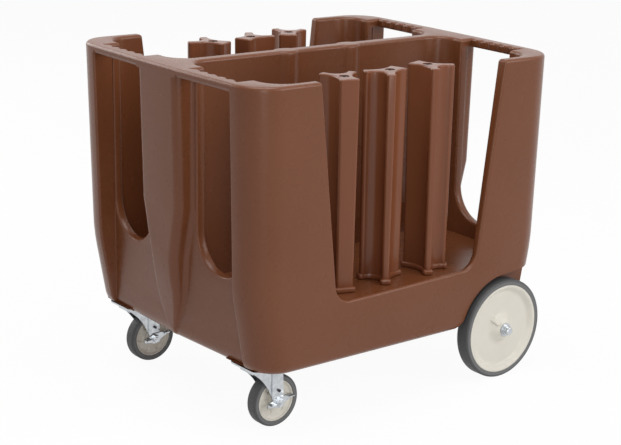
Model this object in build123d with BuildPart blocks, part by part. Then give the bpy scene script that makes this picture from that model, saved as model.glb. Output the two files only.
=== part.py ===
from build123d import *
import os
from math import atan2, cos, radians, sin, sqrt

os.makedirs("parts", exist_ok=True)

# Plate dispenser cart, in millimetres, +Z up. The origin is on the floor under the middle of the
# body. The swivel casters are at the -X end, the large fixed wheels at the +X end, and the left
# side of the cart is -Y.

# ---------------------------------------------------------------- driving dimensions
# Wheels and the heights that follow from them
caster_wheel_radius = 63.5
caster_height = 164.0
rear_wheel_radius = 127.0

# Body moulding. Its heights are those in the middle of the cart, and the whole moulding falls a
# little from the caster end to the handle end. The deck and the sills are level.
body_bottom = 156.0
rim_height = 817.5
body_fall = 20.0
rim_half_length = 460.0
rim_half_width = 367.0
kink_height = 340.0
kink_half_length = 451.0
kink_blend = 36.0
foot_half_length = 418.0
foot_half_width = 356.0
plan_corner_radius = 84.0
end_bow = 10.0
rim_rounding = 8.0
bottom_rounding = 20.0
bottom_setback = 12.0
deck_height = 298.0
sill_height = 314.0
wall = 28.0

# Long-side openings: half widths at the sill and at the rim
opening_sill_half = 219.0
opening_rim_half = 280.0
opening_corner_radius = 45.0
opening_edge_rounding = 7.0

# Recesses, slots and pilaster of both end walls
recess_half_length = 414.0
recess_slant = 5.0
end_skin = 25.0
column_edge = 273.0
column_edge_rounding = 6.0
column_valley_rounding = 2.0
pilaster_valley_rounding = 14.0
pilaster_heights = (156.0, 185.0, 233.0, 274.0, 362.0, 490.0, 817.5)
pilaster_half_widths = (3.0, 15.0, 32.0, 43.0, 50.0, 77.0, 79.0)
pilaster_edge_rounding = 22.0
slot_inner_edge = 94.0
slot_outer_edge = 266.0
slot_bottom = 350.0
slot_edge_rounding = 6.0
rail_height = 21.0
rail_depth = 36.0
rail_rounding = 8.0
rail_step = 0.8
grip_radius = 15.0
grip_depth = 5.0
grip_pitch = 33.0
grip_count = 5
grip_rounding = 5.0

# Centre wall with its ribs
centre_wall_thickness = 34.0
centre_flare_radius = 52.0
rib_offset = 97.0
rib_half_width = 36.0
rib_proud = 10.0

# Wheel arches
arch_gap = 13.0
arch_shift = 6.0
arch_blend_radius = 45.0
arch_rise = 8.0
arch_side_gap = 18.0

# Flat seats on the underside for the casters, the axle brackets and the towers' clamps
seat_margin = 6.0
seat_depth = 6.0
bracket_seat = 149.0
clamp_seat = 163.0
clamp_channel_half_length = 215.0

# Divider towers: each has a place along the cart, a side, a turn and two slide limits
tower_places = {
    "tower_1": (-133.0, -1, 70.0, 50.0, 2.0),
    "tower_2": (5.0, -1, 195.0, 0.0, 14.0),
    "tower_3": (124.0, -1, 284.0, 10.0, 50.0),
    "tower_4": (-122.0, 1, 117.0, 50.0, 12.0),
    "tower_5": (-4.0, 1, 20.0, 12.0, 0.0),
    "tower_6": (119.0, 1, 50.0, 0.0, 50.0),
}
tower_row_offset = 262.0
tower_height = 505.0
tower_arm_angle = 37.0
tower_arm_reach = 64.0
tower_arm_width = 29.0
tower_stem_reach = 41.0
tower_stem_width = 56.0
tower_front_hollow = 33.0
tower_side_hollow = 21.0
tower_corner_radius = 6.5
tower_top_rounding = 3.5
tower_draft = 3.0
tower_wall = 4.5
foot_height = 13.0
foot_flange = 5.0
foot_rounding = 4.5
tie_rod_diameter = 10.0
tie_head_width = 16.0
tie_head_height = 6.5
tie_washer_diameter = 23.0
tie_washer_thickness = 2.0
clamp_plate_side = 44.0
clamp_plate_thickness = 5.0
clamp_nut_width = 16.0
clamp_nut_height = 8.0
rod_end_proud = 4.0
running_gap = 0.3
rod_clearance = 0.5
slot_clearance = 1.5

# Swivel casters
caster_end_setback = 103.0
caster_side_setback = 99.0
caster_trail = 32.0
caster_plate_length = 114.0
caster_plate_width = 102.0
caster_plate_thickness = 4.0
caster_bolt_spacing_x = 84.0
caster_bolt_spacing_y = 76.0
caster_bolt_diameter = 8.0
caster_bolt_head_height = 5.5
caster_bolt_head_width = 13.0
kingpin_diameter = 12.0
kingpin_head_diameter = 22.0
kingpin_head_height = 5.0
race_outer_radius = 27.0
race_height = 9.0
ball_diameter = 6.0
ball_ring_radius = 21.0
ball_count = 16
fork_steel = 3.0
fork_crown_radius = 36.0
fork_leg_gap = 5.0
fork_leg_top_half = 44.0
fork_leg_foot_radius = 15.0
fork_leg_waist = 17.0
fork_rib_width = 9.0
fork_rib_proud = 2.5
fork_bend_radius = 2.0
caster_wheel_width = 31.5
caster_hub_radius = 50.0
caster_boss_radius = 15.0
caster_web_thickness = 9.0
caster_pocket_radius = 8.5
caster_pocket_ring = 32.5
caster_pocket_depth = 4.0
caster_pocket_count = 6
caster_rim_thickness = 6.0
caster_axle_diameter = 10.0
caster_bush_wall = 2.0
caster_nut_width = 17.0
caster_nut_height = 8.0
brake_arm_length = 33.0
brake_arm_width = 15.0
brake_arm_rise = 9.0
brake_tip_half_width = 5.0
brake_eye_radius = 12.75
brake_eye_half_width = 12.0
brake_steel = 2.5
brake_tab_length = 15.0
brake_rivet_diameter = 7.0
brake_rivet_height = 5.0
brake_rivet_rise = 29.0

# Rear wheels and axle
rear_axle_setback = 143.0
rear_wheel_proud = 2.5
rear_tyre_width = 37.0
rear_disc_radius = 113.0
rear_lip_width = 9.0
rear_dish_depth = 12.0
rear_web_thickness = 9.0
rear_boss_base_radius = 32.0
rear_boss_radius = 20.0
rear_boss_proud = 6.0
rear_hub_proud = 3.0
rear_key_width = 10.0
rear_key_length = 20.0
tyre_shoulder = 6.0
rear_axle_diameter = 19.0
axle_clearance = 0.08
axle_washer_radius = 17.0
axle_washer_thickness = 3.0
axle_cap_radius = 13.0
axle_cap_height = 6.0
axle_end_proud = 9.0
bracket_setback = 107.5
bracket_length = 110.0
bracket_width = 50.0
bracket_steel = 5.0
bracket_cheek_radius = 20.0
bracket_bolt_spacing = 80.0
bracket_bolt_diameter = 8.0
bolt_depth = 40.0

# ---------------------------------------------------------------- derived places
seat_cut_depth = 2 * seat_depth
rear_axle_z = rear_wheel_radius
rear_axle_x = rim_half_length - rear_axle_setback
rear_wheel_face = rim_half_width + rear_wheel_proud
bracket_track = rear_wheel_face - bracket_setback
caster_inset = rim_half_length - caster_end_setback
caster_track = foot_half_width - caster_side_setback
body_slope = body_fall / (2 * rim_half_length)
well_half_length = recess_half_length - end_skin
well_half_width = rim_half_width - wall
rail_underside = rim_height - rail_height
rail_inner = rim_half_length + end_bow - rail_depth
opening_lean = (opening_rim_half - opening_sill_half) / (rim_height - sill_height)
tower_base = deck_height + running_gap
tower_top = tower_base + tower_height
arch_radius = rear_wheel_radius + arch_gap
arch_inner = rear_wheel_face - rear_tyre_width - arch_side_gap
cutter_reach = 200.0
overrun = 5.0
edge_tolerance = 0.05
corner_tolerance = 0.01

# Where a recess runs out, its slant and roundings are limited to these shares of its depth, and the
# pilaster's edge also to a share of the pilaster's half width
slant_share = 0.25
column_reach_share = 0.5
valley_reach_share = 0.4
pilaster_reach_share = 0.6
pilaster_width_share = 0.8


def save(piece, name):
    """Label one finished piece and write it under its own name."""
    piece.part.label = name
    export_step(piece.part, f"parts/{name}.step")


def side_plane(side, distance):
    """Upright plane square to Y, facing outward on one side of the cart."""
    return Plane(origin=(0, side * distance, 0), x_dir=(-side, 0, 0), z_dir=(0, side, 0))


def upright(x, y, z):
    """Upright plane through a point, facing -Y, with +X to its right and +Z up."""
    return Plane(origin=(x, y, z), x_dir=(1, 0, 0), z_dir=(0, -1, 0))


def across(x, y, z):
    """Upright plane through a point, facing +X, whose own x runs along the axle."""
    return Plane(origin=(x, y, z), x_dir=(0, 1, 0), z_dir=(1, 0, 0))


def falling_plane(height):
    """Plane of one section of the moulding, parallel to its rim and its bottom."""
    return Plane(origin=(0, 0, height), x_dir=(1, 0, -body_slope), z_dir=(body_slope, 0, 1))


# ---------------------------------------------------------------- body moulding
def half_width_at(height):
    """Half width of the body's drafted side at a height."""
    share = (height - body_bottom) / (rim_height - body_bottom)
    return foot_half_width + share * (rim_half_width - foot_half_width)


def half_length_at(height):
    """Half length of the body's ends, which are drafted in below a rounded kink."""
    lower = (kink_half_length - foot_half_length) / (kink_height - body_bottom)
    upper = (rim_half_length - kink_half_length) / (rim_height - kink_height)
    offset = height - kink_height
    if abs(offset) >= kink_blend:
        return kink_half_length + (upper if offset > 0 else lower) * offset
    bend = (lower - upper) / (4 * kink_blend) * (offset**2 + kink_blend**2)
    return kink_half_length + (lower + upper) / 2 * offset - bend


def pilaster_half_width_at(height):
    """Half width of the pilaster, which runs out to a point towards the foot."""
    stages = list(zip(pilaster_heights, pilaster_half_widths))
    for (low, start), (high, stop) in zip(stages, stages[1:]):
        if height <= high:
            return start + (stop - start) * (height - low) / (high - low)
    return pilaster_half_widths[-1]


corner_start = rim_half_width - plan_corner_radius


def body_outline(height, setback=0.0, depth=cutter_reach):
    """Plan outline of the body at one height, with the recesses of both ends no deeper than depth."""
    half_length = half_length_at(height) - setback
    middle_width = half_width_at(height) - setback
    pilaster = pilaster_half_width_at(height)

    def front(y):
        return half_length + end_bow * (1 - (y / middle_width) ** 2)

    def floor(y):
        full = recess_half_length - setback + end_bow * (1 - (y / column_edge) ** 2)
        return max(min(full, front(y) - rail_step), front(y) - depth)

    reach = front(column_edge) - floor(column_edge)
    slant = min(recess_slant, slant_share * reach)
    half_outline = [
        (front(column_edge), column_edge),
        (floor(column_edge - slant), column_edge - slant),
        (floor(pilaster + slant), pilaster + slant),
        (front(pilaster), pilaster),
    ]
    if not depth:
        half_outline = [half_outline[0], half_outline[-1]]
    with BuildSketch(falling_plane(height)) as outline:
        with BuildLine():
            corners = []
            for end in (1, -1):
                half_width = half_width_at(height - end * body_slope * half_length) - setback
                half_end = [(end * half_length, half_width)] + [(end * x, y) for x, y in half_outline]
                corners += [(x, end * y) for x, y in half_end]
                corners += [(x, -end * y) for x, y in reversed(half_end)]
            Polyline(*corners, close=True)
        make_face()
        for end in (1, -1):
            half_width = half_width_at(height - end * body_slope * half_length) - setback
            corner = outline.vertices().filter_by(
                lambda v: v.X * end > 0 and abs(abs(v.Y) - half_width) < corner_tolerance
            )
            fillet(corner, radius=half_width - corner_start)
        if depth:
            pilaster_edge_limit = min(pilaster_reach_share * reach, pilaster_width_share * pilaster)
            for place, radius in (
                (column_edge, min(column_edge_rounding, column_reach_share * reach)),
                (column_edge - slant, min(column_valley_rounding, valley_reach_share * reach)),
                (pilaster + slant, min(pilaster_valley_rounding, valley_reach_share * reach)),
                (pilaster, min(pilaster_edge_rounding, pilaster_edge_limit)),
            ):
                picked = outline.vertices().filter_by(
                    lambda v: abs(abs(v.Y) - place) < corner_tolerance
                )
                fillet(picked, radius=radius)
    return outline.sketch


def slot_profile(plane, growth, centre, top):
    """Upright slot with a round bottom, drawn about its own middle line."""
    with BuildSketch(plane) as profile:
        with Locations((0, centre)):
            Circle(slot_radius + growth)
            Rectangle(2 * (slot_radius + growth), top - centre, align=(Align.CENTER, Align.MIN))
    return profile.sketch


# Middle and turn of the recess floor, which is straight between the column and the pilaster
floor_outer = column_edge - recess_slant
floor_inner = pilaster_half_widths[-1] + recess_slant
floor_rise = end_bow * (floor_outer**2 - floor_inner**2) / column_edge**2
floor_turn = atan2(floor_rise, floor_outer - floor_inner)
slot_radius = (slot_outer_edge - slot_inner_edge) / 2
slot_middle = slot_inner_edge + slot_radius
floor_middle = recess_half_length + end_bow * (1 - (floor_outer / column_edge) ** 2)
floor_middle += (floor_outer - slot_middle) * floor_rise / (floor_outer - floor_inner)

# Plan of the wells: bowed ends, straight sides and round corners
well_bow = end_bow * (well_half_width / rim_half_width) ** 2
with BuildSketch(Plane.XY) as well_plan:
    with BuildLine():
        for end in (1, -1):
            end_x = end * well_half_length
            end_y = end * well_half_width
            Line((-end_x, end_y), (end_x, end_y))
            ThreePointArc((end_x, end_y), (end_x + end * well_bow, 0), (end_x, -end_y))
    make_face()
    fillet(well_plan.vertices(), radius=plan_corner_radius - wall)

# Sections of the outside: rounded bottom edge, walls with their kink, rails with a rounded edge, rim
bottom_turns = (0, 25, 55, 90)
rail_turns = (0, 45, 90)
flare_turns = (0, 30, 60)
flare_lead = 1.0
bottom_sections = [
    body_outline(
        body_bottom + bottom_rounding * (1 - cos(radians(turn))),
        setback=bottom_setback * (1 - sin(radians(turn))),
    )
    for turn in bottom_turns
]
wall_heights = [kink_height + share * kink_blend for share in (-1, -1 / 3, 1 / 3, 1)] + [rail_underside]
wall_heights += [
    height for height in pilaster_heights if body_bottom + bottom_rounding < height < rail_underside
]
wall_sections = [body_outline(height) for height in sorted(wall_heights)]
rail_sections = [
    body_outline(
        rail_underside + rail_rounding * (1 - cos(radians(turn))),
        depth=rail_rounding + rail_step - rail_rounding * sin(radians(turn)),
    )
    for turn in rail_turns
]
rim_sections = [body_outline(height, depth=0) for height in (rail_underside + rail_rounding, rim_height)]


def on_opening(edge):
    """Whether an edge belongs to a long-side opening, below the rim."""
    centre = edge.center()
    in_reach = abs(centre.X) < opening_rim_half + overrun
    return in_reach and deck_height + edge_tolerance < centre.Z < rim_height - body_fall


def on_long_side(edge):
    """Whether an edge runs round an opening on the outside of a long side."""
    centre = edge.center()
    return on_opening(edge) and abs(abs(centre.Y) - half_width_at(centre.Z)) < edge_tolerance


def on_long_well_wall(edge):
    """Whether an edge runs round an opening on the wells' side of a long side."""
    return on_opening(edge) and abs(abs(edge.center().Y) - well_half_width) < edge_tolerance


def on_slot_mouth(edge):
    """Whether an edge runs round an end slot on the wells' side."""
    centre = edge.center()
    in_wall = well_half_length - edge_tolerance < abs(centre.X) < well_half_length + end_bow
    in_slot = slot_inner_edge - edge_tolerance < abs(centre.Y) < slot_outer_edge + edge_tolerance
    return in_wall and in_slot and slot_bottom - body_fall < centre.Z < rim_height - body_fall


def on_rim(edge):
    """Whether an edge lies all along in the falling plane of the rim."""
    points = (edge @ 0, edge @ 0.5, edge @ 1)
    return all(abs(point.Z - rim_height + body_slope * point.X) < edge_tolerance for point in points)


# Hollow of the plate wells on both sides of the centre wall
with BuildPart() as plate_wells:
    with BuildSketch(Plane.XY.offset(deck_height)) as wells:
        add(well_plan.sketch)
        Rectangle(2 * (well_half_length + 2 * end_bow), centre_wall_thickness, mode=Mode.SUBTRACT)
        junctions = wells.vertices().filter_by(lambda v: abs(v.Y) < centre_wall_thickness)
        fillet(junctions, radius=centre_flare_radius)
        with Locations((-rib_offset, 0), (rib_offset, 0)):
            Ellipse(rib_half_width, centre_wall_thickness / 2 + rib_proud, mode=Mode.SUBTRACT)
    extrude(amount=rim_height - deck_height + cutter_reach)

# Finger grips for both hand rails: rows of round lobes with soft edges
with BuildPart() as finger_grips:
    with BuildSketch(falling_plane(rail_underside)):
        for end in (-1, 1):
            for side in (-1, 1):
                with Locations((end * (rail_inner + grip_radius - grip_depth), side * slot_middle)):
                    with GridLocations(0, grip_pitch, 1, grip_count):
                        Circle(grip_radius)
    extrude(amount=rail_height)
    fillet(finger_grips.edges().filter_by(GeomType.CIRCLE), radius=grip_rounding)

with BuildPart() as cart_body:
    # Outside, lofted from the rounded bottom edge through the kink to the rim, with solid rails
    loft(sections=bottom_sections + wall_sections, ruled=True)
    loft(sections=rail_sections, ruled=True)
    loft(sections=rim_sections, ruled=True)
    add(plate_wells.part, mode=Mode.SUBTRACT)
    # Long-side openings, whose sill slopes down to the deck
    for side in (-1, 1):
        for distance, bottom in (
            (well_half_width, deck_height),
            (rim_half_width + overrun, sill_height),
        ):
            with BuildSketch(side_plane(side, distance)) as opening:
                with BuildLine():
                    half_bottom = opening_rim_half - opening_lean * (rim_height - bottom)
                    half_top = opening_rim_half + opening_lean * cutter_reach
                    Polyline(
                        (-half_top, rim_height + cutter_reach),
                        (-half_bottom, bottom),
                        (half_bottom, bottom),
                        (half_top, rim_height + cutter_reach),
                        close=True,
                    )
                make_face()
                fillet(opening.vertices().group_by(Axis.Z)[0], radius=opening_corner_radius)
        loft(ruled=True, mode=Mode.SUBTRACT)
    # Slots through both end walls, open upwards behind the hand rails, with rounded outer edges
    for end in (-1, 1):
        slot_centre = slot_bottom - end * body_fall / 2 + slot_radius
        for side in (-1, 1):
            straight_in = Plane(
                origin=(end * (well_half_length - overrun), side * slot_middle, 0),
                x_dir=(0, end, 0),
                z_dir=(end, 0, 0),
            )
            extrude(
                slot_profile(straight_in, 0, slot_centre, rim_height + cutter_reach),
                amount=rail_inner - well_half_length + overrun,
                mode=Mode.SUBTRACT,
            )
            on_floor = Plane(
                origin=(end * floor_middle, side * slot_middle, 0),
                x_dir=(-side * sin(floor_turn), end * cos(floor_turn), 0),
                z_dir=(end * cos(floor_turn), side * sin(floor_turn), 0),
            )
            flare_top = rail_underside - end * body_fall / 2
            flare = [slot_profile(on_floor.offset(flare_lead), slot_edge_rounding, slot_centre, flare_top)]
            for turn in flare_turns:
                growth = slot_edge_rounding * (1 - sin(radians(turn)))
                inward = slot_edge_rounding * (cos(radians(turn)) - 1)
                flare.append(slot_profile(on_floor.offset(inward), growth, slot_centre, flare_top))
            flare.append(
                slot_profile(on_floor.offset(-slot_edge_rounding), -flare_lead, slot_centre, flare_top)
            )
            loft(sections=flare, ruled=True, mode=Mode.SUBTRACT)
    # Rounded edges of the openings, of the slots towards the wells, and of the whole rim
    fillet(cart_body.edges().filter_by(on_long_side), radius=opening_edge_rounding)
    fillet(cart_body.edges().filter_by(on_long_well_wall), radius=opening_edge_rounding)
    fillet(cart_body.edges().filter_by(on_slot_mouth), radius=slot_edge_rounding)
    fillet(cart_body.edges().filter_by(on_rim), radius=rim_rounding)
    # Wheel arches at the handle end, which flow into the bottom edge through a round blend
    arch_x = rear_axle_x + arch_shift
    blend_bottom = body_bottom - body_slope * (arch_x - arch_radius)
    blend_z = blend_bottom + arch_blend_radius
    blend_x = arch_x - sqrt((arch_radius + arch_blend_radius) ** 2 - (blend_z - rear_axle_z) ** 2)
    blend_turn = atan2(blend_z - rear_axle_z, arch_x - blend_x)
    touch_x = arch_x - arch_radius * cos(blend_turn)
    touch_z = rear_axle_z + arch_radius * sin(blend_turn)
    half_turn = (radians(90) + blend_turn) / 2
    for side in (-1, 1):
        with BuildSketch(side_plane(side, arch_inner)):
            with Locations((-side * arch_x, rear_axle_z)):
                Circle(arch_radius)
            with BuildLine():
                Polyline(
                    (-side * arch_x, rear_axle_z),
                    (-side * arch_x, rear_axle_z + arch_radius),
                    (-side * (rim_half_length + overrun), rear_axle_z + arch_radius + arch_rise),
                    (-side * (rim_half_length + overrun), rear_axle_z),
                    close=True,
                )
            make_face()
            with BuildLine():
                ThreePointArc(
                    (-side * blend_x, blend_bottom),
                    (
                        -side * (blend_x + arch_blend_radius * cos(half_turn)),
                        blend_z - arch_blend_radius * sin(half_turn),
                    ),
                    (-side * touch_x, touch_z),
                )
                Polyline(
                    (-side * touch_x, touch_z),
                    (-side * arch_x, rear_axle_z),
                    (-side * blend_x, rear_axle_z),
                    (-side * blend_x, blend_bottom),
                )
            make_face()
        extrude(amount=cutter_reach, mode=Mode.SUBTRACT)
    # Level seats on the underside for the casters, the axle brackets and the towers' clamps
    for x, y, length, width, height in (
        (-caster_inset, caster_track, caster_plate_length, caster_plate_width, caster_height),
        (rear_axle_x, bracket_track, bracket_length, bracket_width, bracket_seat),
        (0, tower_row_offset, 2 * clamp_channel_half_length, clamp_plate_side, clamp_seat),
    ):
        for depth, mode in ((seat_depth, Mode.ADD), (-seat_cut_depth, Mode.SUBTRACT)):
            with BuildSketch(Plane.XY.offset(height)):
                with Locations((x, -y), (x, y)):
                    RectangleRounded(length + 2 * seat_margin, width + 2 * seat_margin, seat_margin)
            extrude(amount=depth, mode=mode)
    # Bolt slots through the deck, one under each divider tower
    with BuildSketch(Plane.XY.offset(clamp_seat - overrun)):
        for place, side, turn, back, forth in tower_places.values():
            with Locations((place + (forth - back) / 2, side * tower_row_offset)):
                slot_width = tie_rod_diameter + 2 * slot_clearance
                SlotOverall(back + forth + slot_width, slot_width)
    extrude(amount=deck_height - clamp_seat + 2 * overrun, mode=Mode.SUBTRACT)
    # Blind holes for the bolts of the caster plates and the axle brackets
    for x, y, spacing_x, spacing_y, rows, diameter, height in (
        (
            -caster_inset, caster_track, caster_bolt_spacing_x, caster_bolt_spacing_y, 2,
            caster_bolt_diameter, caster_height,
        ),
        (rear_axle_x, bracket_track, bracket_bolt_spacing, 0, 1, bracket_bolt_diameter, bracket_seat),
    ):
        with BuildSketch(Plane.XY.offset(height - overrun)):
            with Locations((x, -y), (x, y)):
                with GridLocations(spacing_x, spacing_y, 2, rows):
                    Circle(diameter / 2 + rod_clearance)
        extrude(amount=bolt_depth + overrun, mode=Mode.SUBTRACT)
    add(finger_grips.part)
save(cart_body, "cart_body")


# ---------------------------------------------------------------- divider towers
def polar(reach, angle):
    """Point at a distance and an angle in degrees from the tower's bolt."""
    return (reach * cos(radians(angle)), reach * sin(radians(angle)))


def tower_section(plane, growth, corner):
    """Three-armed section: two narrow arms, one wide stem and hollow faces that hug round plates."""
    arm_tip = Vector(*polar(tower_arm_reach + growth, tower_arm_angle))
    across_arm = Vector(*polar(tower_arm_width / 2 + growth, tower_arm_angle + 90))
    inner_tip = arm_tip - across_arm
    outer_tip = arm_tip + across_arm
    stem = tower_stem_reach + growth
    half_stem = tower_stem_width / 2 + growth
    side_middle = (outer_tip.X - stem) / 2
    side_hollow = tower_side_hollow + growth
    with BuildSketch(plane) as section:
        with BuildLine():
            front = ThreePointArc(
                (inner_tip.X, -inner_tip.Y), (tower_front_hollow + growth, 0), (inner_tip.X, inner_tip.Y)
            )
            Line(front @ 1, (outer_tip.X, outer_tip.Y))
            ThreePointArc((outer_tip.X, outer_tip.Y), (side_middle, side_hollow), (-stem, half_stem))
            Line((-stem, half_stem), (-stem, -half_stem))
            ThreePointArc((-stem, -half_stem), (side_middle, -side_hollow), (outer_tip.X, -outer_tip.Y))
            Line((outer_tip.X, -outer_tip.Y), front @ 0)
        make_face()
        fillet(section.vertices(), radius=corner)
    return section.sketch


rod_head_seat = tower_top - tie_head_height - tie_washer_thickness
rod_bottom = clamp_seat - clamp_plate_thickness - clamp_nut_height - rod_end_proud
hole_radius = tie_rod_diameter / 2 + rod_clearance

for name, (place, side, turn, back, forth) in tower_places.items():
    bolt_axis = Plane(origin=(place, side * tower_row_offset, 0), z_dir=(0, 0, 1))
    turned = Plane(origin=bolt_axis.origin, x_dir=(*polar(1, turn), 0), z_dir=(0, 0, 1))

    # Hollow column with a rolled foot, a drafted shaft and a sunk seat for the rod's head
    foot_plane = turned.offset(tower_base)
    foot_section = tower_section(foot_plane, foot_flange - tower_draft, tower_corner_radius)
    shaft_foot = tower_section(foot_plane, -tower_draft, tower_corner_radius)
    shaft_top = tower_section(turned.offset(tower_top), 0, tower_corner_radius)
    hollow_foot = tower_section(foot_plane, -tower_draft - tower_wall, tower_corner_radius / 2)
    hollow_top = tower_section(
        turned.offset(rod_head_seat - tower_wall), -tower_wall, tower_corner_radius / 2
    )
    with BuildPart() as column:
        extrude(foot_section, amount=foot_height)
        fillet(column.edges().filter_by(Plane.XY), radius=foot_rounding)
        loft(sections=[shaft_foot, shaft_top], ruled=True)
        fillet(column.faces().sort_by(Axis.Z)[-1].edges(), radius=tower_top_rounding)
        loft(sections=[hollow_foot, hollow_top], ruled=True, mode=Mode.SUBTRACT)
        with BuildSketch(bolt_axis.offset(rod_head_seat)):
            Circle(tie_washer_diameter / 2 + rod_clearance)
        extrude(amount=tie_head_height + tie_washer_thickness + overrun, mode=Mode.SUBTRACT)
        with BuildSketch(bolt_axis.offset(rod_head_seat)):
            Circle(hole_radius)
        extrude(amount=-2 * tower_wall, mode=Mode.SUBTRACT)
    save(column, f"{name}_column")

    # Long bolt from the sunk seat down through the deck, with its washer
    with BuildPart() as tie_rod:
        with BuildSketch(bolt_axis.offset(rod_bottom)):
            Circle(tie_rod_diameter / 2)
        extrude(amount=rod_head_seat - rod_bottom + running_gap)
        with BuildSketch(bolt_axis.offset(rod_head_seat + running_gap)):
            Circle(tie_washer_diameter / 2)
        extrude(amount=tie_washer_thickness)
        with BuildSketch(bolt_axis.offset(rod_head_seat + running_gap + tie_washer_thickness)):
            RegularPolygon(tie_head_width / 2, 6, major_radius=False)
            Circle(tie_head_width / 4, mode=Mode.SUBTRACT)
        extrude(amount=tie_head_height - tie_washer_thickness)
    save(tie_rod, f"{name}_tie_rod")

    # Square plate and nut that clamp the rod under the body
    with BuildPart() as clamp_plate:
        with BuildSketch(bolt_axis.offset(clamp_seat - running_gap)):
            RectangleRounded(clamp_plate_side, clamp_plate_side, clamp_plate_thickness)
            Circle(tie_rod_diameter / 2, mode=Mode.SUBTRACT)
        extrude(amount=running_gap - clamp_plate_thickness)
        with BuildSketch(bolt_axis.offset(clamp_seat - clamp_plate_thickness)):
            RegularPolygon(clamp_nut_width / 2, 6, major_radius=False)
            Circle(tie_rod_diameter / 2, mode=Mode.SUBTRACT)
        extrude(amount=-clamp_nut_height)
    save(clamp_plate, f"{name}_clamp_nut")


# ---------------------------------------------------------------- swivel casters
plate_bottom = caster_height - caster_plate_thickness
ball_height = plate_bottom - race_height / 2
crown_top = plate_bottom - race_height
crown_bottom = crown_top - fork_steel
leg_inner = caster_wheel_width / 2 + fork_leg_gap
leg_outer = leg_inner + fork_steel
caster_axle_z = caster_wheel_radius
bush_radius = caster_axle_diameter / 2 + axle_clearance + caster_bush_wall
lever_face = leg_outer + running_gap
nut_face = lever_face + brake_steel + running_gap
ball_groove = ball_diameter / 2 + axle_clearance


def race_ring(centre, low, high):
    """Half of the swivel race: a flat ring with the balls' groove turned into it."""
    with BuildPart(mode=Mode.PRIVATE) as ring:
        with BuildSketch(centre.offset(low)):
            Circle(race_outer_radius)
            Circle(kingpin_diameter / 2 + rod_clearance, mode=Mode.SUBTRACT)
        extrude(amount=high - low)
        with BuildSketch(Plane(origin=centre.origin, x_dir=(1, 0, 0), z_dir=(0, -1, 0))):
            with Locations((ball_ring_radius, ball_height)):
                Circle(ball_groove)
        revolve(axis=Axis(centre.origin, (0, 0, 1)), mode=Mode.SUBTRACT)
    return ring.part


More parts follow.
